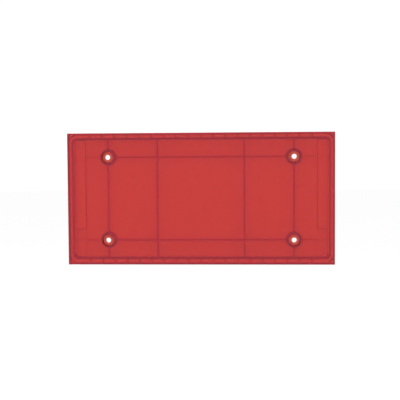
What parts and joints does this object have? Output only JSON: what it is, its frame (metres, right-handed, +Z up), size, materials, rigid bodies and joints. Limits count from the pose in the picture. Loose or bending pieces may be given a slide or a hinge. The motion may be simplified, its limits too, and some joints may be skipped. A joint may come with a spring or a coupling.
{
  "type": "horn strobe",
  "caption": "Slim wall-mounted fire-alarm horn strobe: rectangular clear-red cover over an opal edge-lit guide, piezo horn and control board in a shallow red base.",
  "frame": {"origin": "middle of the base's rear face, on the wall", "axes": "+X to the right and +Z up as seen from the front; +Y into the wall, so the cover faces -Y"},
  "size_m": [0.216, 0.03, 0.1068],
  "materials": {
    "red_lens": "clear red, polished",
    "seal": "satin silicone",
    "acrylic": "opal, satin",
    "white_film": "matt white film",
    "foil": "dull foil",
    "red_body": "fine spark texture",
    "foam": "closed-cell foam",
    "rubber": "matt",
    "white_plastic": "satin",
    "white_board": "white solder mask",
    "led": "yellow phosphor in a white cup",
    "white_lead": "satin insulation",
    "green_board": "green solder mask",
    "steel": "zinc plated",
    "plated_steel": "nickel plated",
    "green_plastic": "satin",
    "brass": "bare",
    "capacitor_sleeve": "shrunk sleeve",
    "ferrite": "sintered",
    "black_package": "moulded epoxy",
    "chip_ceramic": "fired",
    "cream_plastic": "natural nylon",
    "black_plastic": "fine texture",
    "white_knob": "satin",
    "blue_plastic": "satin",
    "piezo_ceramic": "silvered",
    "red_lead": "satin insulation",
    "black_lead": "satin insulation",
    "solder": "bright solder"
  },
  "bodies": {
    "base": {"rear_base": "red_body", "wall_gasket": "foam", "cable_grommet": "rubber", "screw_seals": "seal", "led_carrier_left": "white_plastic", "led_carrier_right": "white_plastic", "led_board_left": "white_board", "led_board_right": "white_board", "led_chips_left": "led", "led_chips_right": "led", "led_leads_left": "white_lead", "led_leads_right": "white_lead", "main_board": "green_board", "board_screws": "steel", "horn_screws": "steel", "terminal_block": "green_plastic", "terminal_clamps": "brass", "terminal_screws": "plated_steel", "storage_capacitors": "capacitor_sleeve", "power_inductor": "ferrite", "controller_chip": "black_package", "bridge_rectifier": "black_package", "power_transistors": "black_package", "small_parts": "chip_ceramic", "connectors": "cream_plastic", "candela_body": "black_plastic", "tone_body": "blue_plastic", "horn_housing": "black_plastic", "horn_lid": "black_plastic", "piezo_disc": "brass", "piezo_ceramic": "piezo_ceramic", "horn_lead_red": "red_lead", "horn_lead_black": "black_lead", "solder_joints": "solder"},
    "cover": {"front_cover": "red_lens", "cover_gasket": "seal", "light_guide": "acrylic", "guide_reflector": "white_film", "guide_edge_tapes": "foil"},
    "candela_knob": {"candela_slider": "white_knob"},
    "tone_knob": {"tone_rotor": "white_knob"}
  },
  "joints": [
    {"name": "cover_lift", "type": "slide", "parent": "base", "child": "cover", "axis": [0, -1, 0], "range_m": [0, 0.06]},
    {"name": "candela_slide", "type": "slide", "parent": "base", "child": "candela_knob", "axis": [1, 0, 0], "range_m": [0, 0.0075]},
    {"name": "tone_dial", "type": "hinge", "parent": "base", "child": "tone_knob", "pos_m": [0.008, -0.0124, -0.035], "axis": [0, -1, 0], "range_deg": [0, 315]}
  ]
}
